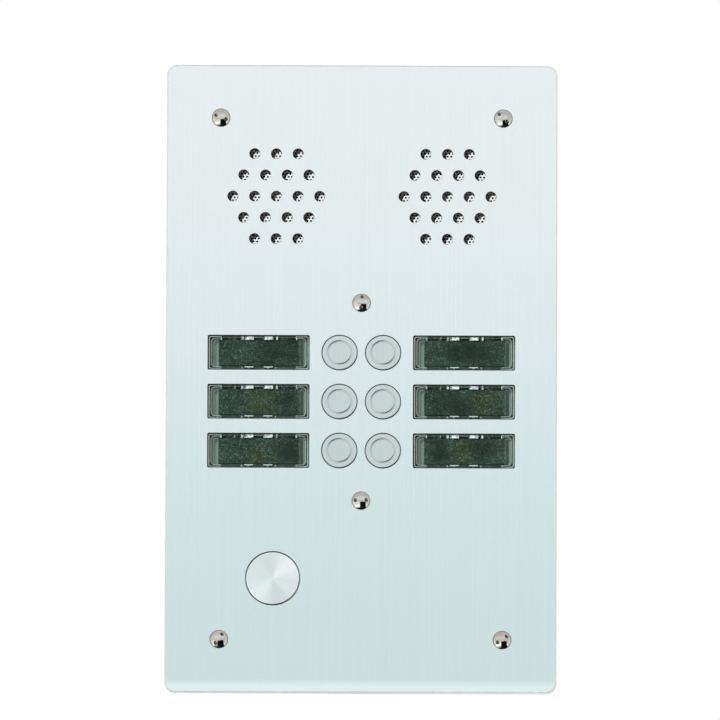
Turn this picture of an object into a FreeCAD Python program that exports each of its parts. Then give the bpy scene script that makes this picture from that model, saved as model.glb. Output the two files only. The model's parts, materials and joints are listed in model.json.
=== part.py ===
import FreeCAD, Part
import os, math

os.makedirs("parts", exist_ok=True)
V = FreeCAD.Vector

# ---------------------------------------------------------------------------
# Door intercom panel for six dwellings, flush mounted.
# X is the width, Z is up, +Y points into the wall.  The wall's surface is the
# plane Y = WALL_Y and the rear of the back box is Y = 0.
# Depths below are counted from the front face of the plate, positive inwards.
# ---------------------------------------------------------------------------
DEPTH = 49.0            # front face of the plate to the rear of the back box

# front plate
PLATE_W, PLATE_H, PLATE_T = 180.0, 295.0, 2.5
PLATE_R = 5.0           # corner radius seen from the front
PLATE_EDGE = 0.8        # rounding of the front rim

# gasket and back box
GASKET_T = 1.5
GASKET_W, GASKET_H = 176.0, 291.0
GASKET_IN_W, GASKET_IN_H = 146.0, 262.0
BOX_W, BOX_H, BOX_WALL, BOX_R = 152.0, 268.0, 1.5, 4.0
BOX_D0 = PLATE_T + GASKET_T
BOX_REBATE, BOX_REBATE_GAP = 0.3, 0.3   # the box's rim sits in a shallow rebate in the gasket
WALL_Y = BOX_D0 - DEPTH

# screws (domed two-hole security heads, M4)
SCREW_X, SCREW_Z = 65.0, 122.5
CENTRE_Z = (35.5, -57.4)
HEAD_R, HEAD_H, HEAD_RIM = 4.25, 1.9, 0.35
SPANNER_R, SPANNER_OFF = 0.88, 2.5
M4_MAJOR, M4_MINOR, M4_PITCH = 1.99, 1.62, 0.7
M4_TAPPED, M4_CLEAR = 2.05, 2.25
POST_R = 4.0

# call buttons
ROWS_Z = (12.1, -10.9, -33.9)
CALL_X = 10.0
CALL_R, CALL_HOLE_R, CALL_FLANGE_R = 8.0, 8.3, 8.95
CALL_PROUD, CALL_STROKE = 0.15, 1.0
CALL_GROOVE_R0, CALL_GROOVE_R1, CALL_GROOVE = 4.95, 5.95, 0.16   # ring groove in the face
CALL_STEM_R, CALL_GUIDE_R = 3.0, 3.07

# name windows
WIN_X = 47.25
WIN_W, WIN_H, WIN_R = 46.8, 16.2, 0.7
LABEL_W, LABEL_H = 37.6, 11.8
LABEL_DX, LABEL_DZ = 0.4, 0.15

# speech grilles
GRILLE_X, GRILLE_Z = 39.4, 85.6
HOLE_PITCH, ROW_PITCH, HOLE_R = 10.0, 10.0, 2.45
HOLE_ROWS = (3, 4, 5, 4, 3)
MESH_SIDE, MESH_T, MESH_PITCH, MESH_HOLE_R, MESH_FIELD_R = 62.0, 0.6, 1.6, 0.48, 25.2
FRAME_STUD = 26.5

# large round push button
BIG_X, BIG_Z = -40.4, -93.9
BIG_R, BIG_HOLE_R, BIG_FLANGE_R = 12.3, 12.65, 13.6
BIG_PROUD, BIG_STROKE = 0.1, 1.2
BIG_STEM_R, BIG_GUIDE_R = 4.0, 4.07

# carrier and boards behind the plate
CARRIER_X, CARRIER_Z0, CARRIER_Z1 = 74.0, -63.0, 41.0
CARRIER_D0, CARRIER_D1 = 8.5, 11.0
BOARD_T = 1.6
BUTTON_BOARD_D = 12.1
MAIN_BOARD_D = 33.4

# cable entry and wall fixing
ENTRY_X, ENTRY_Z, ENTRY_R = 38.0, -92.0, 6.0
FIX_X, FIX_Z, FIX_R = 66.0, 100.0, 2.6


# --- helpers ----------------------------------------------------------------
def Y(d):
    return d - DEPTH


def rbox(cx, cz, w, h, d0, d1, r=0.0):
    """Prism with rounded corners, standing along Y."""
    if r <= 0:
        return Part.makeBox(w, d1 - d0, h, V(cx - w / 2, Y(d0), cz - h / 2))
    x0, x1, z0, z1, y = cx - w / 2, cx + w / 2, cz - h / 2, cz + h / 2, Y(d0)
    k = r * (1 - math.sqrt(0.5))
    e = [
        Part.LineSegment(V(x0 + r, y, z0), V(x1 - r, y, z0)).toShape(),
        Part.Arc(V(x1 - r, y, z0), V(x1 - k, y, z0 + k), V(x1, y, z0 + r)).toShape(),
        Part.LineSegment(V(x1, y, z0 + r), V(x1, y, z1 - r)).toShape(),
        Part.Arc(V(x1, y, z1 - r), V(x1 - k, y, z1 - k), V(x1 - r, y, z1)).toShape(),
        Part.LineSegment(V(x1 - r, y, z1), V(x0 + r, y, z1)).toShape(),
        Part.Arc(V(x0 + r, y, z1), V(x0 + k, y, z1 - k), V(x0, y, z1 - r)).toShape(),
        Part.LineSegment(V(x0, y, z1 - r), V(x0, y, z0 + r)).toShape(),
        Part.Arc(V(x0, y, z0 + r), V(x0 + k, y, z0 + k), V(x0 + r, y, z0)).toShape(),
    ]
    return Part.Face(Part.Wire(e)).extrude(V(0, d1 - d0, 0))


def cyl(cx, cz, r, d0, d1):
    return Part.makeCylinder(r, d1 - d0, V(cx, Y(d0), cz), V(0, 1, 0))


def cone(cx, cz, r0, r1, d0, d1):
    return Part.makeCone(r0, r1, d1 - d0, V(cx, Y(d0), cz), V(0, 1, 0))


def lathe(cx, cz, pts):
    """Solid of revolution about the line through (cx, cz) along Y, from (radius, depth) points.  A point with a third value is the middle of an arc."""
    out, n, i = [], len(pts), 0
    def p(q):
        return V(cx + q[0], Y(q[1]), cz)
    ends = [q for q in pts if len(q) == 2]
    while i < n:
        a, b = pts[i], pts[(i + 1) % n]
        if len(b) == 3:
            c = pts[(i + 2) % n]
            out.append(Part.Arc(p(a), p(b), p(c)).toShape())
            i += 2
        else:
            if (p(a) - p(b)).Length > 1e-7:
                out.append(Part.LineSegment(p(a), p(b)).toShape())
            i += 1
    face = Part.Face(Part.Wire(out))
    return face.revolve(V(cx, 0, cz), V(0, 1, 0), 360)


def hexagon(cx, cz, af, d0, d1):
    r = af / math.sqrt(3)
    pts = [V(cx + r * math.cos(math.radians(60 * i)), Y(d0), cz + r * math.sin(math.radians(60 * i))) for i in range(7)]
    return Part.Face(Part.makePolygon(pts)).extrude(V(0, d1 - d0, 0))


def comp(shapes):
    return Part.makeCompound(shapes)


def fuse(shapes):
    s = shapes[0].fuse(shapes[1:]) if len(shapes) > 1 else shapes[0]
    return s.removeSplitter()


def edges_at(shape, d, test):
    out = []
    for e in shape.Edges:
        b = e.BoundBox
        if abs(b.YMin - Y(d)) < 1e-4 and abs(b.YMax - Y(d)) < 1e-4 and test(e, b):
            out.append(e)
    return out


NODES = {}


def node(name, shape):
    for s in (shape.Solids or [shape]):
        if not s.isValid() or s.Volume <= 0:
            print("CHECK", name, s.isValid(), s.Volume)
    shape.exportStep("parts/%s.step" % name)
    b = shape.BoundBox
    NODES[name] = shape
    print("%-26s solids %2d  vol %9.1f  x %6.1f %6.1f  y %6.1f %6.1f  z %6.1f %6.1f" % (
        name, len(shape.Solids), shape.Volume, b.XMin, b.XMax, b.YMin, b.YMax, b.ZMin, b.ZMax))


def threaded(cx, cz, d0, d1, major, minor, pitch):
    """Rod along Y with ring-shaped thread ridges."""
    pts = [(0.0, d0), (minor, d0)]
    n = int((d1 - d0 - 0.6) / pitch)
    for i in range(n):
        a = d0 + 0.1 + i * pitch
        pts += [(minor, a), (major, a + 0.42 * pitch), (major, a + 0.55 * pitch), (minor, a + 0.95 * pitch)]
    pts += [(minor, d1 - 0.3), (minor - 0.3, d1), (0.0, d1)]
    return lathe(cx, cz, pts)


def security_screw(cx, cz, turn, length):
    """Domed head with two spanner holes, M4 shank."""
    mid = (HEAD_R * 0.62, -(HEAD_RIM + (HEAD_H - HEAD_RIM) * 0.66))
    rr, hh = HEAD_R, HEAD_H - HEAD_RIM
    big = (rr * rr + hh * hh) / (2 * hh)
    xm = rr * 0.55
    ym = HEAD_RIM + math.sqrt(big * big - xm * xm) - (big - hh)
    head = lathe(cx, cz, [(0.0, 0.0), (HEAD_R - 0.12, 0.0), (HEAD_R, -0.12), (HEAD_R, -HEAD_RIM), (xm, -ym, 1), (0.0, -HEAD_H)])
    shank = cyl(cx, cz, M4_MINOR, 0.0, 3.2)
    thread = threaded(cx, cz, 3.1, length, M4_MAJOR, M4_MINOR, M4_PITCH)
    a = math.radians(turn)
    cut = []
    for s in (-1, 1):
        x, z = cx + s * SPANNER_OFF * math.cos(a), cz + s * SPANNER_OFF * math.sin(a)
        cut.append(fuse([cyl(x, z, SPANNER_R, -HEAD_H - 0.5, -0.55), cone(x, z, SPANNER_R, 0.05, -0.55, -0.2)]))
    return fuse([head, shank, thread]).cut(cut)


def spring(cx, cz, d0, d1, r, wire, active):
    """Compression spring with a closed coil at each end."""
    dead = 1.0
    turns = active + 2 * dead
    a0, a1 = d0 + wire / 2, d1 - wire / 2
    rise = (a1 - a0) - 2 * dead * wire * 1.06
    pts, steps = [], int(turns * 20)
    for i in range(steps + 1):
        t = turns * i / steps
        if t <= dead:
            h = t * wire * 1.06
        elif t >= turns - dead:
            h = (a1 - a0) - (turns - t) * wire * 1.06
        else:
            u = (t - dead) / active
            h = dead * wire * 1.06 + rise * u
        an = 2 * math.pi * t
        pts.append(V(cx + r * math.cos(an), Y(a0 + h), cz + r * math.sin(an)))
    c = Part.BSplineCurve()
    c.interpolate(pts)
    path = Part.Wire([c.toShape()])
    t0 = c.tangent(c.FirstParameter)[0]
    prof = Part.Wire([Part.makeCircle(wire / 2, pts[0], t0)])
    s = path.makePipeShell([prof], True, True)
    return s


def grille_holes(cx):
    out = []
    for i, n in enumerate(HOLE_ROWS):
        z = GRILLE_Z + (2 - i) * ROW_PITCH
        for j in range(n):
            out.append((cx + (j - (n - 1) / 2) * HOLE_PITCH, z))
    return out


CALLS = [(s * CALL_X, z) for z in ROWS_Z for s in (-1, 1)]     # 1..6, left then right, top row first
WINS = [(s * WIN_X, z) for z in ROWS_Z for s in (-1, 1)]
CORNERS = [(-SCREW_X, SCREW_Z), (SCREW_X, SCREW_Z), (-SCREW_X, -SCREW_Z), (SCREW_X, -SCREW_Z)]
SPANNER_TURN = (-20.0, -44.0, 54.0, 34.0)
GRILLE_STUDS = [(gx + a * FRAME_STUD, GRILLE_Z + b * FRAME_STUD) for gx in (-GRILLE_X, GRILLE_X) for a in (-1, 1) for b in (-1, 1)]
BIG_STUDS = [(BIG_X + 21.0 * math.cos(math.radians(t)), BIG_Z + 21.0 * math.sin(math.radians(t))) for t in (90, 210, 330)]

# --- front plate ------------------------------------------------------------
plate = rbox(0, 0, PLATE_W, PLATE_H, 0, PLATE_T, PLATE_R)
plate = plate.makeFillet(PLATE_EDGE, edges_at(plate, 0, lambda e, b: True))
cuts = [rbox(x, z, WIN_W, WIN_H, -1, PLATE_T + 1, WIN_R) for x, z in WINS]
cuts += [cyl(x, z, CALL_HOLE_R, -1, PLATE_T + 1) for x, z in CALLS]
cuts += [cyl(BIG_X, BIG_Z, BIG_HOLE_R, -1, PLATE_T + 1)]
cuts += [cyl(x, z, M4_CLEAR, -1, PLATE_T + 1) for x, z in CORNERS + [(0, z) for z in CENTRE_Z]]
cuts += [cyl(x, z, HOLE_R, -1, PLATE_T + 1) for gx in (-GRILLE_X, GRILLE_X) for x, z in grille_holes(gx)]
plate = plate.cut(cuts)


def is_round(r):
    return lambda e, b: hasattr(e.Curve, "Radius") and abs(e.Curve.Radius - r) < 1e-3 and abs(b.XLength - 2 * r) < 1e-2


rims = edges_at(plate, 0, is_round(CALL_HOLE_R)) + edges_at(plate, 0, is_round(BIG_HOLE_R)) + edges_at(plate, 0, is_round(HOLE_R))
win_rims = edges_at(plate, 0, lambda e, b: any(abs((b.XMin + b.XMax) / 2 - x) < WIN_W / 2 + 0.1 and abs((b.ZMin + b.ZMax) / 2 - z) < WIN_H / 2 + 0.1 for x, z in WINS) and b.XLength < WIN_W + 0.1)
plate = plate.makeChamfer(0.15, rims + win_rims)
node("front_plate", plate)

# --- gasket, back box, posts --------------------------------------------------
gasket = rbox(0, 0, GASKET_W, GASKET_H, PLATE_T, BOX_D0, 4.0).cut(rbox(0, 0, GASKET_IN_W, GASKET_IN_H, PLATE_T - 1, BOX_D0 + 1, 3.0))
gasket = gasket.cut(rbox(0, 0, BOX_W + 2 * BOX_REBATE_GAP, BOX_H + 2 * BOX_REBATE_GAP, BOX_D0 - BOX_REBATE, BOX_D0 + 1, BOX_R + BOX_REBATE_GAP))
node("panel_gasket", gasket)

# the four walls, and the rear sheet welded on behind them
walls = rbox(0, 0, BOX_W, BOX_H, BOX_D0 - BOX_REBATE, DEPTH - BOX_WALL, BOX_R)
walls = walls.cut(rbox(0, 0, BOX_W - 2 * BOX_WALL, BOX_H - 2 * BOX_WALL, BOX_D0 - 1, DEPTH, BOX_R - BOX_WALL))
node("back_box_walls", walls)
rear = rbox(0, 0, BOX_W, BOX_H, DEPTH - BOX_WALL, DEPTH, BOX_R)
rear = rear.makeFillet(1.2, edges_at(rear, DEPTH, lambda e, b: True))
cuts = [cyl(x * FIX_X, z * FIX_Z, FIX_R, DEPTH - 3, DEPTH + 1) for x in (-1, 1) for z in (-1, 1)]
cuts += [cyl(ENTRY_X, ENTRY_Z, 10.0, DEPTH - 3, DEPTH + 1)]
rear = rear.cut(cuts)
node("back_box_rear", rear)

posts = []
for x, z in CORNERS:
    p = hexagon(x, z, 8.0, PLATE_T, DEPTH - BOX_WALL)
    p = p.cut(cyl(x, z, M4_TAPPED, PLATE_T - 1, 24.0))
    p = p.cut(cone(x, z, M4_TAPPED + 0.5, M4_TAPPED, PLATE_T, PLATE_T + 0.5))
    posts.append(p)
node("corner_posts", comp(posts))

# --- screws -----------------------------------------------------------------
node("corner_screws", comp([security_screw(x, z, t, 16.0) for (x, z), t in zip(CORNERS, SPANNER_TURN)]))
node("centre_screws", comp([security_screw(0, CENTRE_Z[0], 84.0, 10.4), security_screw(0, CENTRE_Z[1], 2.0, 10.4)]))

# --- weld studs and their nuts ----------------------------------------------
studs, nuts = [], []
for x, z in GRILLE_STUDS + BIG_STUDS:
    studs.append(threaded(x, z, PLATE_T, 10.5, 1.49, 1.2, 0.5))
    deck = 5.6 if (x, z) in GRILLE_STUDS else 4.5
    washer = cyl(x, z, 3.2, deck, deck + 0.5).cut(cyl(x, z, 1.6, deck - 1, deck + 2))
    hx = hexagon(x, z, 5.5, deck + 0.5, deck + 2.9).common(lathe(x, z, [(0, deck + 0.5), (2.9, deck + 0.5), (3.3, deck + 0.9), (3.3, deck + 2.5), (2.9, deck + 2.9), (0, deck + 2.9)]))
    hx = hx.cut(cyl(x, z, 1.55, deck, deck + 4))
    nuts += [washer, hx]
node("plate_studs", comp(studs))
node("stud_nuts", comp(nuts))

# --- carrier of the call buttons ----------------------------------------------
carrier = rbox(0, (CARRIER_Z0 + CARRIER_Z1) / 2, 2 * CARRIER_X, CARRIER_Z1 - CARRIER_Z0, CARRIER_D0, CARRIER_D1, 3.0)
block = rbox(0, (ROWS_Z[0] + ROWS_Z[2]) / 2, 41.0, ROWS_Z[0] - ROWS_Z[2] + 22.0, PLATE_T, CARRIER_D0, 3.0)
bosses = [cyl(0, z, 5.5, PLATE_T, CARRIER_D0 + 0.5) for z in CENTRE_Z]
ribs = [rbox(0, (CENTRE_Z[0] + ROWS_Z[0] + 11) / 2, 2.0, CENTRE_Z[0] - ROWS_Z[0] - 11, 5.0, CARRIER_D0, 0),
        rbox(0, (CENTRE_Z[1] + ROWS_Z[2] - 11) / 2, 2.0, ROWS_Z[2] - 11 - CENTRE_Z[1], 5.0, CARRIER_D0, 0)]
STAKES = [(x, z) for x in (-20.0, 20.0) for z in (-44.0, 22.5)]
STAKE_D = BUTTON_BOARD_D + BOARD_T
legs = []
for x, z in STAKES:
    legs.append(lathe(x, z, [(0, CARRIER_D1 - 0.5), (2.4, CARRIER_D1 - 0.5), (2.4, BUTTON_BOARD_D), (1.2, BUTTON_BOARD_D), (1.2, STAKE_D + 0.02), (2.1, STAKE_D + 0.02), (2.1, STAKE_D + 0.3), (1.4, STAKE_D + 1.0), (0, STAKE_D + 1.0)]))
carrier = fuse([carrier, block] + bosses + ribs + legs)
cuts = []
for x, z in CALLS:
    cuts += [cyl(x, z, CALL_FLANGE_R + 0.35, PLATE_T - 1, CARRIER_D0), cyl(x, z, CALL_GUIDE_R, CARRIER_D0 - 1, CARRIER_D1 + 1)]
cuts += [cyl(0, z, 3.0, PLATE_T - 1, 10.9) for z in CENTRE_Z]
cuts += [rbox(s * 47.25, z, 30.0, 14.0, CARRIER_D0 - 1, CARRIER_D1 + 1, 2.0) for s in (-1, 1) for z in ROWS_Z]
carrier = carrier.cut(cuts)
node("button_carrier", carrier)

inserts = []
for z in CENTRE_Z:
    ins = lathe(0, z, [(M4_TAPPED, PLATE_T), (2.98, PLATE_T), (2.98, 4.6), (2.75, 4.8), (2.75, 5.6), (2.98, 5.8), (2.98, 7.8), (2.75, 8.0), (2.75, 8.6), (2.98, 8.8), (2.98, 10.85), (M4_TAPPED, 10.85)])
    inserts.append(ins)
node("carrier_inserts", comp(inserts))

# --- call buttons -------------------------------------------------------------
def call_cap(x, z):
    f = -CALL_PROUD
    pts = [(0.0, f), (CALL_GROOVE_R0, f), ((CALL_GROOVE_R0 + CALL_GROOVE_R1) / 2, f + CALL_GROOVE), (CALL_GROOVE_R1, f), (CALL_R - 0.3, f),
           (CALL_R - 0.08, f + 0.08, 1), (CALL_R, f + 0.3), (CALL_R, 2.65), (CALL_FLANGE_R, 2.65), (CALL_FLANGE_R, 4.1),
           (CALL_STEM_R, 4.1), (CALL_STEM_R, 10.6), (CALL_STEM_R - 0.4, 11.0), (0.0, 11.0)]
    return lathe(x, z, pts)


cap0 = call_cap(0, 0)
spring0 = spring(0, 0, 4.12, CARRIER_D0 - 0.02, 4.6, 0.55, 2.6)
for i, (x, z) in enumerate(CALLS, 1):
    c = cap0.copy(); c.translate(V(x, 0, z)); node("call_button_cap_%d" % i, c)
    s = spring0.copy(); s.translate(V(x, 0, z)); node("call_button_spring_%d" % i, s)

board = rbox(0, -10.75, 48.0, 74.0, BUTTON_BOARD_D, BUTTON_BOARD_D + BOARD_T, 2.0)
board = board.cut([cyl(x, z, 1.3, BUTTON_BOARD_D - 1, BUTTON_BOARD_D + 3) for x, z in STAKES])
node("button_board", board)
domes = []
for x, z in CALLS:
    domes.append(cyl(x, z, 2.9, BUTTON_BOARD_D - 0.06, BUTTON_BOARD_D))
    domes.append(cyl(x, z, 4.4, BUTTON_BOARD_D - 0.06, BUTTON_BOARD_D).cut(cyl(x, z, 3.5, BUTTON_BOARD_D - 1, BUTTON_BOARD_D + 1)))
for r0, r1 in ((0.0, 2.9), (3.5, 4.6)):
    ring = cyl(BIG_X, BIG_Z, r1, 14.74, 14.8)
    domes.append(ring.cut(cyl(BIG_X, BIG_Z, r0, 14, 15)) if r0 else ring)
node("button_contacts", comp(domes))

# --- name windows ---------------------------------------------------------------
TOP_Z, BOT_Z = 6.9, -6.55           # centres of the two clip strips
CLIP_X, CLIP_W = 4.4, 4.0
CLIP_BOXES = [(-CLIP_X, TOP_Z, CLIP_W, 1.3, 1.3), (CLIP_X, TOP_Z, CLIP_W, 1.3, 1.3), (0.0, TOP_Z + 0.45, 4.3, 0.4, 1.6),
              (-CLIP_X, BOT_Z, CLIP_W, 0.7, 2.0), (CLIP_X, BOT_Z, CLIP_W, 0.7, 2.0)]     # x, z, width, height, front depth
RISE_W, RISE_H, RISE_DZ, RISE_D = 36.2, 14.3, 0.1, 2.75


def window(x, z):
    bw, bh = WIN_W - 0.6, WIN_H - 0.6
    w = rbox(x, z, bw, bh, 0.45, PLATE_T + 0.1, WIN_R - 0.2)
    w = w.makeChamfer(0.3, edges_at(w, 0.45, lambda e, b: True))
    groove = rbox(x, z, bw - 1.6, bh - 0.8, 0.3, 0.8, 1.7).cut(rbox(x, z, bw - 2.4, bh - 1.4, 0.2, 0.9, 1.4))
    w = w.cut(groove)
    f = rbox(x, z, 49.4, 18.4, PLATE_T + 0.02, 3.7, 1.0)
    w = fuse([w, f])
    cuts = [rbox(x + LABEL_DX, z + LABEL_DZ, LABEL_W + 0.3, LABEL_H + 0.3, 1.7, 4.5, 0.3),
            rbox(x, z + RISE_DZ, RISE_W + 0.3, RISE_H + 0.3, RISE_D - 0.1, 4.5, 0.3)]
    for dx, dz, cw, ch, d in CLIP_BOXES:
        cuts.append(rbox(x + dx, z + dz, cw + 0.2, ch + 0.16, d - 0.08, 4.5))
    return w.cut(cuts)


win0 = window(0, 0)
for i, (x, z) in enumerate(WINS, 1):
    w = win0.copy(); w.translate(V(x, 0, z)); node("name_window_%d" % i, w)

labels, trays, lights = [], [], []
for s in (-1, 1):
    labels += [rbox(s * WIN_X + LABEL_DX, z + LABEL_DZ, LABEL_W, LABEL_H, 1.75, 2.05, 0.2) for z in ROWS_Z]
    cx, cz = s * WIN_X, ROWS_Z[1]
    tray = rbox(cx, cz, 52.0, 67.5, 3.75, CARRIER_D0, 2.0).cut(rbox(cx, cz, 49.0, 64.5, 5.6, CARRIER_D0 + 1, 1.0))
    pads = [rbox(cx + LABEL_DX, z + LABEL_DZ, LABEL_W, LABEL_H, 2.1, 4.0, 0.2) for z in ROWS_Z]
    rises = [rbox(cx, z + RISE_DZ, RISE_W, RISE_H, RISE_D, 4.0, 0.2) for z in ROWS_Z]
    tray = fuse([tray] + pads + rises)
    cuts = []
    for z in ROWS_Z:
        for t in (-1, 1):
            for x0, x1 in ((6.7, 7.6), (8.3, 11.4), (11.9, 17.2)):
                cuts.append(rbox(cx + t * (x0 + x1) / 2, z + TOP_Z - 0.05, x1 - x0, 1.25, 2, 7))
                cuts.append(rbox(cx + t * (x0 + x1) / 2, z + BOT_Z - 0.05, x1 - x0, 0.7, 2, 7))
            cuts.append(rbox(cx + t * CLIP_X, z + TOP_Z, CLIP_W + 0.1, 1.34, 2, 3.75))
            cuts.append(rbox(cx + t * CLIP_X, z + BOT_Z, CLIP_W + 0.1, 0.74, 2, 3.75))
        cuts.append(rbox(cx, z + TOP_Z - 0.05, 4.3, 1.25, 2, 7))
        cuts.append(rbox(cx, z + BOT_Z - 0.05, 4.3, 0.7, 2, 7))
    trays.append(tray.cut(cuts))
    lights.append(rbox(cx, cz, 48.4, 63.9, CARRIER_D0 - BOARD_T, CARRIER_D0, 1.0))
node("name_labels", comp(labels))
node("name_trays", comp(trays))
node("backlight_boards", comp(lights))

clips = []
for x, z in WINS:
    for dx, dz, cw, ch, d in CLIP_BOXES:
        clips.append(rbox(x + dx, z + dz, cw, ch, d, 3.75 if dx else 2.6))
node("name_clips", comp(clips))
leds = []
for x, z in WINS:
    for dx in (-15, -5, 5, 15):
        leds.append(rbox(x + dx, z, 3.5, 2.8, CARRIER_D0 - BOARD_T - 0.8, CARRIER_D0 - BOARD_T, 0.3))
node("backlight_leds", comp(leds))

# --- large round push button ------------------------------------------------------
f = -BIG_PROUD
big = lathe(BIG_X, BIG_Z, [(0.0, f), (BIG_R - 0.35, f), (BIG_R - 0.1, f + 0.1, 1), (BIG_R, f + 0.35), (BIG_R, 2.65), (BIG_FLANGE_R, 2.65),
                            (BIG_FLANGE_R, 4.4), (BIG_STEM_R, 4.4), (BIG_STEM_R, 13.0), (BIG_STEM_R - 0.5, 13.5), (0.0, 13.5)])
node("service_button_cap", big)
house = lathe(BIG_X, BIG_Z, [(14.3, PLATE_T), (16.0, PLATE_T), (16.0, 12.5), (15.5, 13.0), (BIG_GUIDE_R, 13.0), (BIG_GUIDE_R, 10.5), (14.3, 10.5)])
ears = []
for x, z in BIG_STUDS:
    dx, dz = x - BIG_X, z - BIG_Z
    e = cyl(x, z, 4.0, PLATE_T, 4.5)
    link = Part.makeBox(8.0, 2.0, 7.0, V(-4.0, Y(PLATE_T), 14.6))
    link.rotate(V(0, 0, 0), V(0, 1, 0), -(math.degrees(math.atan2(dz, dx)) - 90))
    link.translate(V(BIG_X, 0, BIG_Z))
    ears += [e, link]
BIG_LEGS = [(BIG_X + 11.5 * math.cos(math.radians(t)), BIG_Z + 11.5 * math.sin(math.radians(t))) for t in (45, 135, 225, 315)]
legs = [lathe(x, z, [(0, 12.5), (2.0, 12.5), (2.0, 14.8), (1.0, 14.8), (1.0, 16.42), (1.8, 16.42), (1.8, 16.8), (1.2, 17.3), (0, 17.3)]) for x, z in BIG_LEGS]
house = fuse([house] + ears + legs)
house = house.cut([cyl(x, z, 1.65, PLATE_T - 1, 6) for x, z in BIG_STUDS])
house = house.cut(cyl(BIG_X, BIG_Z, 14.3, PLATE_T - 1, 10.5))
node("service_button_housing", house)
node("service_button_spring", spring(BIG_X, BIG_Z, 4.42, 10.48, 8.5, 0.8, 3.0))
sb = cyl(BIG_X, BIG_Z, 15.0, 14.8, 16.4).cut([cyl(x, z, 1.1, 14, 18) for x, z in BIG_LEGS])
node("service_board", sb)

# --- grille sheets, loudspeaker, microphone ----------------------------------------
def mesh_sheet(cx):
    g0 = PLATE_T + 0.12
    outer = rbox(cx, GRILLE_Z, MESH_SIDE, MESH_SIDE, g0, g0 + MESH_T, 5.0)
    base = [fc for fc in outer.Faces if abs(fc.BoundBox.YMin - Y(g0)) < 1e-5 and abs(fc.BoundBox.YMax - Y(g0)) < 1e-5][0]
    wires = [base.OuterWire]
    def ring(x, z, r):
        wires.append(Part.Wire([Part.makeCircle(r, V(x, Y(g0), z), V(0, 1, 0))]))
    row = -20
    while row <= 20:
        z = row * MESH_PITCH * math.sqrt(3) / 2
        off = (row % 2) * MESH_PITCH / 2
        for c in range(-20, 21):
            x = c * MESH_PITCH + off
            if math.hypot(x, z) < MESH_FIELD_R:
                ring(cx + x, GRILLE_Z + z, MESH_HOLE_R)
        row += 1
    for a in (-1, 1):
        for b in (-1, 1):
            ring(cx + a * FRAME_STUD, GRILLE_Z + b * FRAME_STUD, 1.65)
    f = Part.Face(wires)
    if not f.isValid():
        for w in wires[1:]:
            w.reverse()
        f = Part.Face(wires)
    return f.extrude(V(0, MESH_T, 0))


M0 = PLATE_T + 0.12 + MESH_T           # rear of the sheets
node("grille_mesh_left", mesh_sheet(-GRILLE_X))
node("grille_mesh_right", mesh_sheet(GRILLE_X))

sx, sz = -GRILLE_X, GRILLE_Z
g = rbox(sx, sz, 62.0, 62.0, M0, M0 + 1.38, 5.0).cut(cyl(sx, sz, 26.0, M0 - 1, M0 + 3))
g = g.cut([cyl(x, z, 1.8, M0 - 1, M0 + 3) for x, z in GRILLE_STUDS[:4]])
node("loudspeaker_gasket", g)
S0 = M0 + 1.38                          # front of the basket's flange: 4.6
fl = rbox(sx, sz, 62.0, 62.0, S0, S0 + 1.0, 5.0).cut(cyl(sx, sz, 26.0, S0 - 1, S0 + 3))
shell = lathe(sx, sz, [(26.0, S0), (27.2, S0), (27.2, S0 + 3.0), (17.0, S0 + 14.0), (12.0, S0 + 14.0), (12.0, S0 + 12.8), (16.4, S0 + 12.8), (26.0, S0 + 2.6)])
TAG = (sx, sz - 28.6)
basket = fuse([fl, shell, rbox(TAG[0], TAG[1], 12.0, 3.6, S0 + 0.5, S0 + 5.0, 0.5)])
windows = []
for t in (45, 135, 225, 315):
    wdw = Part.makeBox(12.0, 7.0, 14.0, V(-6.0, Y(S0 + 4.5), 15.0))
    wdw.rotate(V(0, 0, 0), V(0, 1, 0), t)
    wdw.translate(V(sx, 0, sz))
    windows.append(wdw)
basket = basket.cut(windows + [cyl(x, z, 1.65, S0 - 1, S0 + 3) for x, z in GRILLE_STUDS[:4]])
node("loudspeaker_basket", basket)
coneb = lathe(sx, sz, [(25.8, S0 + 0.6), (25.8, S0 + 1.0), (23.5, S0 + 0.1, 1), (21.5, S0 + 1.6), (8.6, S0 + 9.6), (8.2, S0 + 9.2), (21.2, S0 + 1.1), (23.5, S0 - 0.35, 1)])
dust = lathe(sx, sz, [(0, S0 + 5.6), (1.2, S0 + 5.6), (5.4, S0 + 6.5, 1), (8.9, S0 + 8.7), (8.7, S0 + 9.0), (5.2, S0 + 6.9, 1), (1.2, S0 + 6.0), (0, S0 + 6.0)])
node("loudspeaker_cone", comp([coneb, dust]))
mag = fuse([cyl(sx, sz, 17.5, S0 + 14.0, S0 + 22.0), cyl(sx, sz, 15.5, S0 + 22.0, S0 + 24.0)])
mag = mag.cut(lathe(sx, sz, [(6.5, S0 + 13.0), (8.5, S0 + 13.0), (8.5, S0 + 20.0), (6.5, S0 + 20.0)]))
node("loudspeaker_magnet", mag)

mx, mz = GRILLE_X, GRILLE_Z
mh = rbox(mx, mz, 62.0, 62.0, M0, M0 + 2.38, 5.0)
mh = fuse([mh, cyl(mx, mz, 28.0, M0, M0 + 12.0)])
mh = mh.cut([cyl(mx, mz, 26.0, M0 - 1, M0 + 10.0), cyl(mx, mz, 7.0, M0 + 5, M0 + 20)] + [cyl(x, z, 1.65, M0 - 1, M0 + 4) for x, z in GRILLE_STUDS[4:]])
mh = fuse([mh, cyl(mx, mz, 9.5, M0 + 4.0, M0 + 16.0).cut(cyl(mx, mz, 7.0, M0 + 3, M0 + 20))])
node("microphone_housing", mh)
boot = cyl(mx, mz, 7.0, M0 + 4.5, M0 + 14.0).cut([cyl(mx, mz, 4.85, M0 + 5.5, M0 + 20), cyl(mx, mz, 3.0, M0 + 3, M0 + 7)])
node("microphone_boot", boot)
cap = cyl(mx, mz, 4.85, M0 + 5.5, M0 + 12.0)
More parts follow.
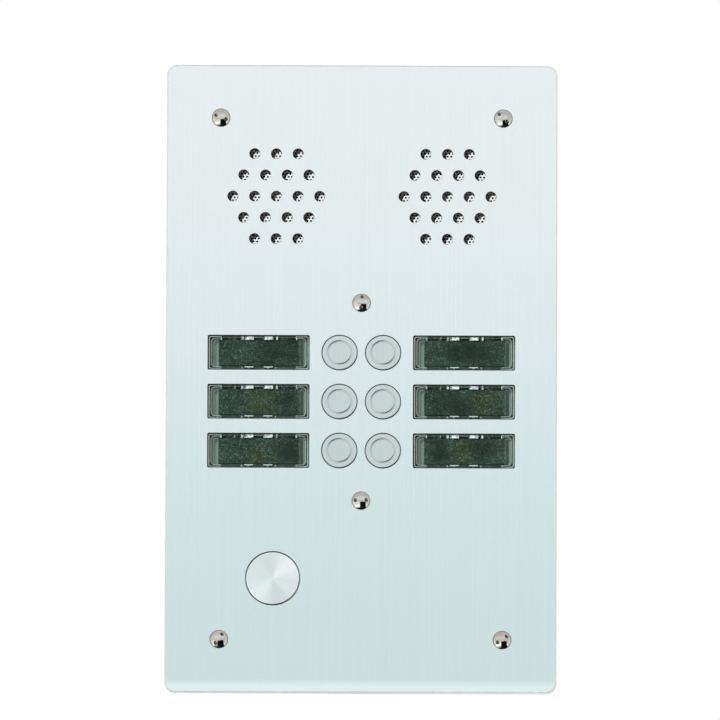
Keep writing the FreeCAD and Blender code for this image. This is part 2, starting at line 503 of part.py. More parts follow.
cap = cap.cut([cyl(mx, mz, 0.6, M0 + 4, M0 + 6.1)] + [cyl(mx + a, mz + b, 0.4, M0 + 4, M0 + 6.0) for a, b in ((1.8, 0), (-1.8, 0), (0, 1.8), (0, -1.8))])
cap = fuse([cap, cyl(mx - 1.27, mz, 0.3, M0 + 11.5, M0 + 16.0), cyl(mx + 1.27, mz, 0.3, M0 + 11.5, M0 + 16.0)])
node("microphone_capsule", cap)

# --- main board in the back box -------------------------------------------------------
BX, BZ, BW, BH = 0.0, -33.0, 124.0, 158.0
bolt = [(BX + s * 57.0, BZ + t * 74.0) for s in (-1, 1) for t in (-1, 1)]
mb = rbox(BX, BZ, BW, BH, MAIN_BOARD_D, MAIN_BOARD_D + BOARD_T, 3.0)
mb = mb.cut([cyl(x, z, 1.65, MAIN_BOARD_D - 1, MAIN_BOARD_D + 3) for x, z in bolt] + [cyl(ENTRY_X, ENTRY_Z, 13.0, MAIN_BOARD_D - 1, MAIN_BOARD_D + 3)])
node("main_board", mb)
so = [hexagon(x, z, 6.0, MAIN_BOARD_D + BOARD_T, DEPTH - BOX_WALL).cut(cyl(x, z, 1.55, MAIN_BOARD_D, MAIN_BOARD_D + 9)) for x, z in bolt]
node("board_standoffs", comp(so))
sc = []
for x, z in bolt:
    h = lathe(x, z, [(0, MAIN_BOARD_D), (2.8, MAIN_BOARD_D), (2.8, MAIN_BOARD_D - 0.6), (1.9, MAIN_BOARD_D - 1.7, 1), (0, MAIN_BOARD_D - 2.1)])
    t = threaded(x, z, MAIN_BOARD_D - 0.1, MAIN_BOARD_D + 7.0, 1.49, 1.2, 0.5)
    s = fuse([h, t]).cut([rbox(x, z, 3.4, 0.8, MAIN_BOARD_D - 3, MAIN_BOARD_D - 1.1), rbox(x, z, 0.8, 3.4, MAIN_BOARD_D - 3, MAIN_BOARD_D - 1.1)])
    sc.append(s)
node("board_screws", comp(sc))

TB_N, TB_P, TB_X, TB_Z = 12, 5.08, 0.0, 34.0
blk = rbox(TB_X, TB_Z, TB_N * TB_P, 10.0, MAIN_BOARD_D - 12.0, MAIN_BOARD_D, 0.6)
cuts = []
for i in range(TB_N):
    x = TB_X + (i - (TB_N - 1) / 2) * TB_P
    cuts.append(cyl(x, TB_Z + 0.8, 1.9, MAIN_BOARD_D - 13, MAIN_BOARD_D - 4))
    cuts.append(Part.makeBox(3.4, 4.0, 4.0, V(x - 1.7, Y(MAIN_BOARD_D - 6.5), TB_Z - 6.0)))
blk = blk.cut(cuts)
node("terminal_block", blk)
ts = []
for i in range(TB_N):
    x = TB_X + (i - (TB_N - 1) / 2) * TB_P
    s = fuse([cyl(x, TB_Z + 0.8, 1.85, MAIN_BOARD_D - 10.0, MAIN_BOARD_D - 8.2), cyl(x, TB_Z + 0.8, 1.3, MAIN_BOARD_D - 8.3, MAIN_BOARD_D - 4.0)])
    ts.append(s.cut(rbox(x, TB_Z + 0.8, 3.0, 0.6, MAIN_BOARD_D - 11, MAIN_BOARD_D - 9.2)))
node("terminal_screws", comp(ts))
rel = [rbox(-44.0, -30.0, 15.4, 19.2, MAIN_BOARD_D - 15.4, MAIN_BOARD_D, 0.8), rbox(-24.0, -30.0, 15.4, 19.2, MAIN_BOARD_D - 15.4, MAIN_BOARD_D, 0.8)]
node("lock_relays", comp([r.makeFillet(0.6, edges_at(r, MAIN_BOARD_D - 15.4, lambda e, b: True)) for r in rel]))
caps = []
for x, z, r, h in ((10.0, -62.0, 6.3, 15.0), (26.0, -62.0, 6.3, 15.0), (44.0, -60.0, 5.0, 12.5), (10.0, -82.0, 4.0, 11.5)):
    top = MAIN_BOARD_D - h
    c = lathe(x, z, [(0, top), (r - 0.6, top), (r - 0.18, top + 0.18, 1), (r, top + 0.6), (r, MAIN_BOARD_D - 2.6), (r - 0.5, MAIN_BOARD_D - 2.2), (r - 0.5, MAIN_BOARD_D - 1.8), (r, MAIN_BOARD_D - 1.4), (r, MAIN_BOARD_D), (0, MAIN_BOARD_D)])
    caps.append(c)
node("capacitors", comp(caps))
tr = []
for x in (40.0, 52.0):
    b = rbox(x, 14.0, 9.5, 9.5, MAIN_BOARD_D - 5.0, MAIN_BOARD_D, 0.5)
    b = fuse([b, cyl(x, 14.0, 3.0, MAIN_BOARD_D - 6.2, MAIN_BOARD_D - 4.5)]).cut(rbox(x, 14.0, 4.6, 0.8, MAIN_BOARD_D - 7, MAIN_BOARD_D - 5.5))
    tr.append(b)
node("volume_trimmers", comp(tr))
ics = []
for x, z, w, h in ((20.0, -30.0, 18.0, 7.6), (44.0, -30.0, 12.0, 7.6)):
    b = rbox(x, z, w, h, MAIN_BOARD_D - 4.0, MAIN_BOARD_D - 0.5, 0.3)
    n = int(w / 2.54)
    pins = []
    for i in range(n):
        px = x + (i - (n - 1) / 2) * 2.54
        for s in (-1, 1):
            pins.append(rbox(px, z + s * (h / 2 + 0.2), 0.6, 0.6, MAIN_BOARD_D - 2.6, MAIN_BOARD_D))
    ics.append(fuse([b] + pins))
HEAD_D = MAIN_BOARD_D - 7.0            # front of the lead headers
HEADERS = [(-GRILLE_X, 42.0), (GRILLE_X, 42.0), (-WIN_X, -10.9), (WIN_X, -10.9), (BIG_X, BIG_Z)]
for x, z in HEADERS:
    ics.append(rbox(x, z, 9.0, 6.0, HEAD_D, MAIN_BOARD_D, 0.4))
ics.append(rbox(0.0, -10.9, 26.0, 5.0, STAKE_D, MAIN_BOARD_D, 0.4))
node("board_components", comp(ics))

# --- cable grommet ---------------------------------------------------------------------
gl = lathe(ENTRY_X, ENTRY_Z, [(ENTRY_R, DEPTH - 5.0), (11.2, DEPTH - 5.0), (12.5, DEPTH - 3.8), (12.5, DEPTH - BOX_WALL - 0.0), (9.95, DEPTH - BOX_WALL), (9.95, DEPTH), (ENTRY_R, DEPTH)])
node("cable_grommet", gl)

# --- internal leads: straight runs joined by tangent arcs, held at both ends ----------------
def lead(pts, r, bend):
    """Round lead along a polyline whose corners are rounded."""
    edges, last = [], pts[0]
    for i in range(1, len(pts) - 1):
        a, b, c = pts[i - 1], pts[i], pts[i + 1]
        u, w = (a - b).normalize(), (c - b).normalize()
        ang = u.getAngle(w)
        t = bend / math.tan(ang / 2)
        p, q = b + u * t, b + w * t
        bis = (u + w).normalize()
        centre = b + bis * (bend / math.sin(ang / 2))
        m = centre - bis * bend
        if (p - last).Length > 1e-6:
            edges.append(Part.LineSegment(last, p).toShape())
        edges.append(Part.Arc(p, m, q).toShape())
        last = q
    edges.append(Part.LineSegment(last, pts[-1]).toShape())
    path = Part.Wire(edges)
    d = (pts[1] - pts[0]).normalize()
    prof = Part.Wire([Part.makeCircle(r, pts[0], d)])
    return path.makePipeShell([prof], True, True)


def P(x, d, z):
    return V(x, Y(d), z)


leads = []
for k in (-1.7, 1.7):
    x = -GRILLE_X + k
    leads.append(lead([P(x, S0 + 5.0, TAG[1]), P(x, 18.0, TAG[1]), P(x, 18.0, 42.0), P(x, HEAD_D, 42.0)], 0.65, 3.0))
    x = GRILLE_X + k * 1.27 / 1.7
    leads.append(lead([P(x, M0 + 16.0, GRILLE_Z), P(x, 22.6, GRILLE_Z), P(x, 22.6, 42.0), P(x, HEAD_D, 42.0)], 0.5, 2.4))
    for x0 in (-WIN_X, WIN_X):
        leads.append(Part.makeCylinder(0.65, HEAD_D - CARRIER_D0, P(x0 + k, CARRIER_D0, -10.9), V(0, 1, 0)))
    leads.append(Part.makeCylinder(0.65, HEAD_D - 16.4, P(BIG_X + k, 16.4, BIG_Z), V(0, 1, 0)))
node("internal_leads", comp(leads))
print(len(NODES), "nodes")
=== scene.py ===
import json
import math
import bpy
import bmesh
from mathutils import Matrix, Vector

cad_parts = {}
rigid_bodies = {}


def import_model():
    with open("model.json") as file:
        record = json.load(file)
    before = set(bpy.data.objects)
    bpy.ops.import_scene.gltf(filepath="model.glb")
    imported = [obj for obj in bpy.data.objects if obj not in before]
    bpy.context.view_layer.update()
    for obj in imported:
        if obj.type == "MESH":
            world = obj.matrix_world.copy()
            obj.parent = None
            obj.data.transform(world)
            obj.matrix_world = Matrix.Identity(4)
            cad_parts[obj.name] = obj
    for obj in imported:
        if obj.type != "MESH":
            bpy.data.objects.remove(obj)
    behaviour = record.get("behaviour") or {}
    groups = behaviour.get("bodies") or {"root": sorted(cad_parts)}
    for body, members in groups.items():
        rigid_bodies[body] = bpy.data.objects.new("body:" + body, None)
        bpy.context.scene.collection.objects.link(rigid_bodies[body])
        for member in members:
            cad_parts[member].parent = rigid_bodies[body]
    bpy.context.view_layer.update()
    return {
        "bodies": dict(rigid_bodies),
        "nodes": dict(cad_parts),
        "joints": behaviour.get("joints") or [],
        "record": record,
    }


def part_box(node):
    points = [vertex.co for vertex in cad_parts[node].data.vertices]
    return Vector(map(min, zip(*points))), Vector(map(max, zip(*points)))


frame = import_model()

scene = bpy.context.scene
N = frame["nodes"]

# ---------------------------------------------------------------------------
# camera: long lens, a little below the panel, looking up at it
# ---------------------------------------------------------------------------
MM_PER_PX = 0.4598e-3
FRAME_PX = 720
TILT = math.radians(11.9)
ROLL = math.radians(0.2)
LENS = 1500.0
FRONT_Y = -0.049

cam_data = bpy.data.cameras.new("camera")
cam_data.lens = LENS
cam_data.sensor_width = 36.0
cam = bpy.data.objects.new("camera", cam_data)
scene.collection.objects.link(cam)
look = Vector((0.0, math.cos(TILT), math.sin(TILT)))
up = Vector((0.0, -math.sin(TILT), math.cos(TILT)))
dist = LENS / 36.0 * FRAME_PX * MM_PER_PX
aim = Vector((0.0, FRONT_Y, 0.0)) + Vector((1, 0, 0)) * (-1.4 * MM_PER_PX) + up * (18.4 * MM_PER_PX)
cam.location = aim - look * dist
right = look.cross(up)
up_r = up * math.cos(ROLL) + right * (-math.sin(ROLL))
right_r = look.cross(up_r)
cam.matrix_world = Matrix.Translation(cam.location) @ Matrix((
    (right_r.x, up_r.x, -look.x), (right_r.y, up_r.y, -look.y), (right_r.z, up_r.z, -look.z))).to_4x4()
cam_data.clip_start = 0.5
cam_data.clip_end = 60.0
scene.camera = cam
scene.view_settings.view_transform = "Standard"
scene.view_settings.look = "None"


# ---------------------------------------------------------------------------
# node helpers
# ---------------------------------------------------------------------------
class Mat:
    def __init__(self, name):
        self.m = bpy.data.materials.new(name)
        self.m.use_nodes = True
        self.t = self.m.node_tree
        self.t.nodes.clear()
        self.out = self.t.nodes.new("ShaderNodeOutputMaterial")
        self.b = self.t.nodes.new("ShaderNodeBsdfPrincipled")
        self.t.links.new(self.b.outputs[0], self.out.inputs["Surface"])
        self._tc = None

    def n(self, kind, **props):
        node = self.t.nodes.new(kind)
        for k, v in props.items():
            setattr(node, k, v)
        return node

    def link(self, a, b):
        self.t.links.new(a, b)

    @property
    def tc(self):
        if self._tc is None:
            self._tc = self.n("ShaderNodeTexCoord")
        return self._tc

    def coords(self, scale=(1, 1, 1), kind="Object", offset=(0, 0, 0), turn=(0, 0, 0)):
        mp = self.n("ShaderNodeMapping")
        mp.inputs["Scale"].default_value = scale
        mp.inputs["Location"].default_value = offset
        mp.inputs["Rotation"].default_value = turn
        self.link(self.tc.outputs[kind], mp.inputs["Vector"])
        return mp.outputs[0]

    def noise(self, vec, scale=1.0, detail=4.0, rough=0.55, distort=0.0):
        nz = self.n("ShaderNodeTexNoise")
        nz.inputs["Scale"].default_value = scale
        nz.inputs["Detail"].default_value = detail
        nz.inputs["Roughness"].default_value = rough
        nz.inputs["Distortion"].default_value = distort
        self.link(vec, nz.inputs["Vector"])
        return nz.outputs["Fac"]

    def ramp(self, fac, stops, interp="LINEAR"):
        r = self.n("ShaderNodeValToRGB")
        r.color_ramp.interpolation = interp
        e = r.color_ramp.elements
        while len(e) < len(stops):
            e.new(0.5)
        for el, (p, c) in zip(e, stops):
            el.position = p
            el.color = (c[0], c[1], c[2], 1.0) if isinstance(c, (tuple, list)) else (c, c, c, 1.0)
        self.link(fac, r.inputs["Fac"])
        return r.outputs["Color"]

    def maprange(self, v, a, b, c, d, clamp=True):
        r = self.n("ShaderNodeMapRange")
        r.clamp = clamp
        for i, x in enumerate((a, b, c, d)):
            r.inputs[i + 1].default_value = x
        self.link(v, r.inputs[0])
        return r.outputs[0]

    def math(self, op, a, b=None, c=None):
        m = self.n("ShaderNodeMath", operation=op)
        for i, v in enumerate((a, b, c)):
            if v is None:
                continue
            if isinstance(v, (int, float)):
                m.inputs[i].default_value = v
            else:
                self.link(v, m.inputs[i])
        return m.outputs[0]

    def mix(self, fac, a, b, blend="MIX"):
        m = self.n("ShaderNodeMix", data_type="RGBA", blend_type=blend)
        for sock, v in ((m.inputs[0], fac), (m.inputs[6], a), (m.inputs[7], b)):
            if isinstance(v, (int, float)):
                sock.default_value = v
            elif isinstance(v, (tuple, list)):
                sock.default_value = (v[0], v[1], v[2], 1.0)
            else:
                self.link(v, sock)
        return m.outputs[2]

    def bump(self, height, strength, distance, normal=None):
        b = self.n("ShaderNodeBump")
        b.inputs["Strength"].default_value = strength
        b.inputs["Distance"].default_value = distance
        self.link(height, b.inputs["Height"])
        if normal is not None:
            self.link(normal, b.inputs["Normal"])
        return b.outputs[0]

    def xyz(self, vec):
        s = self.n("ShaderNodeSeparateXYZ")
        self.link(vec, s.inputs[0])
        return s.outputs

    def set(self, **kw):
        names = {"base": "Base Color", "metal": "Metallic", "rough": "Roughness", "ior": "IOR", "alpha": "Alpha",
                 "normal": "Normal", "aniso": "Anisotropic", "rot": "Anisotropic Rotation", "tangent": "Tangent",
                 "coat": "Coat Weight", "coat_rough": "Coat Roughness", "spec": "Specular IOR Level",
                 "trans": "Transmission Weight", "sheen": "Sheen Weight", "sub": "Subsurface Weight"}
        for k, v in kw.items():
            s = self.b.inputs[names[k]]
            if isinstance(v, (int, float)):
                s.default_value = v
            elif isinstance(v, (tuple, list)):
                s.default_value = (v[0], v[1], v[2], 1.0) if len(v) == 3 and s.type == "RGBA" else v
            else:
                self.link(v, s)
        return self


def lin(r, g, b):
    def f(c):
        c /= 255.0
        return c / 12.92 if c <= 0.04045 else ((c + 0.055) / 1.055) ** 2.4
    return (f(r), f(g), f(b))


def brushed(name, base, rough=(0.26, 0.36), amp=0.05, aniso=0.55, across=3800.0, along=14.0, cloud=0.03, bump=0.10):
    """Steel brushed along Z: fine streaks in colour, roughness and bump, with faint clouding and odd longer scratches."""
    m = Mat(name)
    fine = m.noise(m.coords((across, across, along)), 1.0, 5.0, 0.62)
    mid = m.noise(m.coords((across * 0.22, across * 0.22, along * 0.5), offset=(3.1, 1.7, 0.4)), 1.0, 3.0, 0.5)
    big = m.noise(m.coords((9.0, 9.0, 5.0), offset=(0.7, 2.3, 4.1)), 1.0, 2.0, 0.5)
    scratch = m.noise(m.coords((across * 1.8, across * 1.8, along * 0.25), offset=(8.1, 0.2, 5.5)), 1.0, 1.0, 0.3)
    sc = m.maprange(scratch, 0.66, 0.74, 0.0, 1.0)
    dark = tuple(c * (1 - amp) for c in base)
    light = tuple(min(1.0, c * (1 + amp)) for c in base)
    streak = m.math("ADD", m.math("MULTIPLY", fine, 0.8), m.math("MULTIPLY", mid, 0.2))
    col = m.ramp(streak, ((0.34, dark), (0.66, light)))
    col = m.mix(m.maprange(big, 0.3, 0.7, 0.0, cloud * 4), col, tuple(c * 0.90 for c in base))
    col = m.mix(m.math("MULTIPLY", sc, 0.18), col, tuple(min(1.0, c * 1.18) for c in base))
    r = m.math("ADD", m.maprange(streak, 0.3, 0.7, rough[0], rough[1]), m.math("MULTIPLY", sc, -0.05))
    h = m.math("SUBTRACT", streak, m.math("MULTIPLY", sc, 0.35))
    m.set(base=col, metal=1.0, rough=r, aniso=aniso, normal=m.bump(h, bump, 0.00003))
    return m


def plain_metal(name, base, rough=(0.3, 0.45), scale=900.0, amp=0.06, bump=0.08, stretch=(1, 1, 1), spots=0.0):
    m = Mat(name)
    a = m.noise(m.coords(tuple(scale * s for s in stretch)), 1.0, 5.0, 0.6)
    big = m.noise(m.coords((30, 30, 30), offset=(2.2, 0.1, 1.3)), 1.0, 3.0, 0.55)
    col = m.ramp(a, ((0.3, tuple(c * (1 - amp) for c in base)), (0.7, tuple(min(1, c * (1 + amp)) for c in base))))
    col = m.mix(m.maprange(big, 0.35, 0.7, 0.0, 0.3), col, tuple(c * 0.86 for c in base))
    if spots:
        v = m.n("ShaderNodeTexVoronoi")
        v.inputs["Scale"].default_value = 160.0
        m.link(m.coords((1, 1, 1)), v.inputs["Vector"])
        col = m.mix(m.math("MULTIPLY", m.xyz(v.outputs["Color"])[0], spots), col, tuple(min(1, c * 1.25) for c in base))
    m.set(base=col, metal=1.0, rough=m.maprange(a, 0.3, 0.7, rough[0], rough[1]), normal=m.bump(a, bump, 0.00004))
    return m


def moulded(name, base, rough=(0.42, 0.6), grain=1800.0, amp=0.12, bump=0.12, spec=0.5, dust=0.0):
    m = Mat(name)
    g = m.noise(m.coords((grain,) * 3), 1.0, 3.0, 0.6)
    big = m.noise(m.coords((45, 45, 45), offset=(5, 1, 2)), 1.0, 4.0, 0.6)
    col = m.ramp(big, ((0.3, tuple(c * (1 - amp) for c in base)), (0.7, tuple(min(1, c * (1 + amp)) for c in base))))
    if dust:
        d = m.maprange(m.noise(m.coords((700, 700, 700), offset=(1, 7, 3)), 1.0, 6.0, 0.7), 0.6, 0.75, 0.0, dust)
        col = m.mix(d, col, (0.45, 0.44, 0.41))
    m.set(base=col, rough=m.maprange(g, 0.3, 0.7, rough[0], rough[1]), spec=spec, normal=m.bump(g, bump, 0.00006))
    return m


# ---------------------------------------------------------------------------
# materials
# ---------------------------------------------------------------------------
MATS = {}

# front plate: vertical brushing, with painted highlights along the lower rim and the outer rim, and painted shade on
# the pierced edges
m = brushed("plate_brushed_steel", (0.80, 0.83, 0.835), rough=(0.28, 0.33), amp=0.024, aniso=0.85, cloud=0.015, bump=0.06)
px, py, pz = m.xyz(m.coords((1, 1, 1)))
geo_n = m.n("ShaderNodeNewGeometry")
nx, ny, nzz = m.xyz(geo_n.outputs["Normal"])
inside = m.math("MULTIPLY", m.maprange(m.math("ABSOLUTE", px), 0.0875, 0.0880, 1.0, 0.0), m.maprange(m.math("ABSOLUTE", pz), 0.1450, 0.1455, 1.0, 0.0))
pierced_edge_shade = m.math("MULTIPLY", m.maprange(m.math("ABSOLUTE", ny), 0.55, 0.90, 1.0, 0.0), inside)      # pierced edges and their chamfers, painted near-black as painted shade, and dulled
lower_rim_highlight = m.maprange(pz, -0.1412, -0.1446, 0.0, 1.0)                             # painted highlight: a lighter strip along the lower rim
old = m.b.inputs["Base Color"].links[0].from_socket
col = m.mix(m.math("MULTIPLY", lower_rim_highlight, 0.9), old, (1.0, 0.99, 0.985))
col = m.mix(m.math("MULTIPLY", pierced_edge_shade, 0.95), col, (0.02, 0.022, 0.022))
rim = m.math("MULTIPLY", m.math("SUBTRACT", 1.0, inside), m.maprange(m.math("ABSOLUTE", ny), 0.92, 0.995, 1.0, 0.0))   # outer rim painted lighter as a painted highlight, and made rougher
col = m.mix(rim, col, (0.97, 0.98, 0.98))
r_old = m.b.inputs["Roughness"].links[0].from_socket
rough = m.math("ADD", m.math("ADD", r_old, m.math("MULTIPLY", rim, 0.42)), m.math("MULTIPLY", pierced_edge_shade, 0.5))
m.set(base=col, metal=m.math("SUBTRACT", 1.0, pierced_edge_shade), rough=rough)
MATS["plate_steel"] = m.m

# call buttons: finer cross grain, slightly darker than the plate
m = brushed("button_brushed_steel", (0.665, 0.70, 0.70), rough=(0.28, 0.38), amp=0.035, aniso=0.4, across=5200.0, along=60.0)
def shade_cap_sides(m):
    """Turned sides of a cap painted near-black as painted shade and made dull, beside its finished face; the slopes of
    the dish groove painted darker as painted shade.
    """
    geo_c = m.n("ShaderNodeNewGeometry")
    ny_c = m.xyz(geo_c.outputs["Normal"])[1]
    # painted shade: the turned sides painted near-black
    side_shade = m.maprange(m.math("ABSOLUTE", ny_c), 0.35, 0.85, 1.0, 0.0)
    old_c = m.b.inputs["Base Color"].links[0].from_socket
    # painted shade: the slopes of the dish groove painted darker
    groove_shade = m.maprange(m.math("ABSOLUTE", ny_c), 0.930, 0.985, 1.0, 0.0)
    col_c = m.mix(m.math("MULTIPLY", groove_shade, 0.42), old_c, (0.16, 0.17, 0.17))
    r_old = m.b.inputs["Roughness"].links[0].from_socket
    m.set(base=m.mix(m.math("MULTIPLY", side_shade, 0.95), col_c, (0.02, 0.022, 0.022)), metal=m.math("SUBTRACT", 1.0, side_shade),
          rough=m.math("ADD", r_old, m.math("MULTIPLY", side_shade, 0.45)))


shade_cap_sides(m)
MATS["button_steel"] = m.m


def spun():
    """Turned disc: circular grain with radial anisotropy, and a fan of bright and dark sectors round the centre painted
    into the colour as painted highlights.
    """
    m = Mat("spun_steel")
    lo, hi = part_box("service_button_cap")
    cx, cz = (lo.x + hi.x) / 2, (lo.z + hi.z) / 2
    c = m.coords((1, 1, 1), offset=(-cx, 0.0, -cz))
    x, y, z = m.xyz(c)
    rad = m.math("SQRT", m.math("ADD", m.math("MULTIPLY", x, x), m.math("MULTIPLY", z, z)))
    rings = m.n("ShaderNodeCombineXYZ")
    m.link(m.math("MULTIPLY", rad, 4200.0), rings.inputs[0])
    ring = m.noise(rings.outputs[0], 1.0, 5.0, 0.65)
    ang = m.math("ARCTAN2", z, x)                      # -pi..pi from the right, counter-clockwise
    turn = m.math("FRACT", m.math("ADD", m.math("DIVIDE", ang, 2 * math.pi), 1.0))
    # painted highlight: bright and dark sectors by angle round the centre, painted into the colour
    painted_fan_highlight = m.ramp(turn, (
        (0.00, 0.50), (0.035, 0.62), (0.075, 0.92), (0.125, 1.0), (0.17, 0.86), (0.225, 0.42), (0.30, 0.34), (0.40, 0.52),
        (0.475, 0.36), (0.545, 0.46), (0.60, 0.70), (0.66, 0.74), (0.715, 0.46), (0.77, 0.18), (0.83, 0.24), (0.885, 0.60),
        (0.93, 0.56), (0.97, 0.36), (1.00, 0.50)), "EASE")
    wob = m.noise(m.coords((260, 260, 260), offset=(1, 2, 3)), 1.0, 2.0, 0.5)
    col = m.mix(painted_fan_highlight, (0.765, 0.80, 0.79), (1.0, 0.97, 0.98))
    col = m.mix(m.maprange(ring, 0.3, 0.7, 0.0, 0.07), col, (0.62, 0.64, 0.65))
    tan = m.n("ShaderNodeTangent", direction_type="RADIAL", axis="Y")
    m.set(base=col, metal=1.0, rough=m.maprange(m.math("ADD", m.math("MULTIPLY", ring, 0.7), m.math("MULTIPLY", wob, 0.3)), 0.3, 0.7, 0.25, 0.34),
          aniso=0.45, rot=0.25, tangent=tan.outputs[0], normal=m.bump(ring, 0.10, 0.00002))
    shade_cap_sides(m)
    return m.m


MATS["spun_steel"] = spun()

# perforated sheet: dull bright stainless, its punched hole walls painted near-black as painted shade
m = Mat("mesh_stainless")
nz = m.noise(m.coords((2600, 2600, 2600)), 1.0, 4.0, 0.6)
bg = m.noise(m.coords((160, 160, 160), offset=(4, 4, 1)), 1.0, 3.0, 0.55)
col = m.ramp(nz, ((0.3, (0.74, 0.77, 0.76)), (0.7, (0.90, 0.92, 0.91))))
col = m.mix(m.maprange(bg, 0.35, 0.7, 0.0, 0.25), col, (0.60, 0.64, 0.63))
geo_m = m.n("ShaderNodeNewGeometry")
# painted shade: the walls of the punched holes painted near-black
punched_wall_shade = m.maprange(m.math("ABSOLUTE", m.xyz(geo_m.outputs["Normal"])[1]), 0.5, 0.8, 1.0, 0.0)
col = m.mix(punched_wall_shade, m.mix(0.22, col, (0.1, 0.12, 0.12)), (0.01, 0.012, 0.012))
m.set(base=col, metal=0.0, rough=m.maprange(nz, 0.3, 0.7, 0.5, 0.7), spec=0.15, normal=m.bump(nz, 0.15, 0.00003))
MATS["mesh_steel"] = m.m

# polished screws
m = Mat("polished_stainless")
nz = m.noise(m.coords((1500, 1500, 1500)), 1.0, 3.0, 0.5)
sw = m.noise(m.coords((240, 240, 240), offset=(2, 6, 1)), 1.0, 4.0, 0.6, 0.6)
col = m.ramp(sw, ((0.35, (0.52, 0.50, 0.45)), (0.65, (0.63, 0.62, 0.59))))
sx, sy, sz = m.xyz(m.coords((1, 1, 1)))
seat_shade = m.maprange(sy, -0.04962, -0.04948, 0.0, 1.0)                           # painted shade where the head meets the plate
col = m.mix(m.math("MULTIPLY", seat_shade, 0.85), col, (0.07, 0.07, 0.07))
m.set(base=col, metal=1.0, rough=m.maprange(nz, 0.3, 0.7, 0.02, 0.06), normal=m.bump(sw, 0.05, 0.00020))
MATS["screw_steel"] = m.m

MATS["galvanised_steel"] = plain_metal("galvanised_sheet", (0.62, 0.64, 0.655), rough=(0.34, 0.52), scale=420.0, amp=0.07, bump=0.06, spots=0.55).m
MATS["zinc_hardware"] = plain_metal("zinc_plated", (0.68, 0.68, 0.66), rough=(0.22, 0.36)).m
MATS["spring_steel"] = plain_metal("drawn_wire", (0.50, 0.51, 0.52), rough=(0.2, 0.34), scale=1800.0).m
MATS["brass"] = plain_metal("brass_insert", (0.78, 0.58, 0.28), rough=(0.24, 0.4)).m
MATS["contact_gold"] = plain_metal("gold_flash", (0.86, 0.66, 0.30), rough=(0.15, 0.28)).m
MATS["capsule_alu"] = plain_metal("anodised_can", (0.78, 0.79, 0.80), rough=(0.28, 0.4), stretch=(1, 8, 1)).m
MATS["black_plastic"] = moulded("black_moulding", (0.030, 0.031, 0.033), dust=0.10).m
MATS["tray_plastic"] = moulded("light_guide", lin(112, 128, 120), rough=(0.3, 0.42), amp=0.14, dust=0.25).m
wc = moulded("white_clip", (0.93, 0.94, 0.92), rough=(0.22, 0.34), amp=0.05, spec=0.5)
wc.b.inputs["Metallic"].default_value = 0.8
MATS["clip_plastic"] = wc.m
MATS["gasket_rubber"] = moulded("closed_cell_rubber", (0.028, 0.028, 0.030), rough=(0.7, 0.9), grain=2600.0, bump=0.35, dust=0.18, spec=0.35).m
MATS["grommet_rubber"] = moulded("soft_rubber", (0.020, 0.020, 0.021), rough=(0.55, 0.75), grain=1500.0, bump=0.2, spec=0.4).m
MATS["basket_paint"] = moulded("stoved_black", (0.035, 0.035, 0.038), rough=(0.3, 0.42), grain=900.0, bump=0.2).m
MATS["cone_paper"] = moulded("doped_paper", (0.018, 0.018, 0.019), rough=(0.6, 0.8), grain=1300.0, bump=0.4).m
MATS["ferrite"] = moulded("ferrite_and_yoke", (0.07, 0.07, 0.075), rough=(0.35, 0.55), grain=1000.0, bump=0.25).m
MATS["terminal_green"] = moulded("terminal_housing", (0.045, 0.22, 0.09), rough=(0.3, 0.42)).m
MATS["relay_blue"] = moulded("relay_cover", (0.03, 0.10, 0.30), rough=(0.18, 0.3)).m
MATS["capacitor_sleeve"] = moulded("shrink_sleeve", (0.025, 0.03, 0.08), rough=(0.2, 0.32)).m
MATS["trimmer_blue"] = moulded("trimmer_body", (0.06, 0.17, 0.38), rough=(0.22, 0.34)).m
MATS["lead_insulation"] = moulded("lead_insulation", (0.32, 0.02, 0.02), rough=(0.3, 0.42)).m
MATS["led_lens"] = moulded("led_lens", (0.86, 0.80, 0.45), rough=(0.2, 0.32)).m


def board(name, base, line):
    """Solder mask over copper tracks on a 2.5 mm grid."""
    m = Mat(name)
    br = m.n("ShaderNodeTexBrick")
    br.offset = 0.5
    br.inputs["Scale"].default_value = 1.0
    br.inputs["Mortar Size"].default_value = 0.06
    br.inputs["Brick Width"].default_value = 3.0
    br.inputs["Row Height"].default_value = 0.6
    c = m.coords((420, 420, 420), turn=(math.radians(90), 0, 0))
    m.link(c, br.inputs["Vector"])
    nz = m.noise(m.coords((900, 900, 900)), 1.0, 4.0, 0.6)
    col = m.mix(m.maprange(nz, 0.3, 0.7, 0.0, 0.25), base, tuple(c2 * 0.7 for c2 in base))
    col = m.mix(br.outputs["Fac"], col, line)
    m.set(base=col, rough=m.maprange(nz, 0.3, 0.7, 0.28, 0.4), normal=m.bump(br.outputs["Fac"], 0.2, 0.00004))
    return m.m


MATS["board_green"] = board("green_board", (0.012, 0.10, 0.045), (0.03, 0.20, 0.09))
MATS["board_white"] = board("white_board", (0.80, 0.81, 0.79), (0.66, 0.67, 0.64))

# name inserts: dark grey-green card, blotched and speckled
m = Mat("name_insert")
c0 = m.coords((1, 1, 1))
lx, ly, lz = m.xyz(c0)
tone = m.noise(m.coords((70, 70, 110), offset=(7.3, 2.4, 0.7)), 1.0, 3.0, 0.5, 0.0)
vor = m.n("ShaderNodeTexVoronoi")
vor.inputs["Scale"].default_value = 2500.0
m.link(c0, vor.inputs["Vector"])
spk = m.xyz(vor.outputs["Color"])[0]


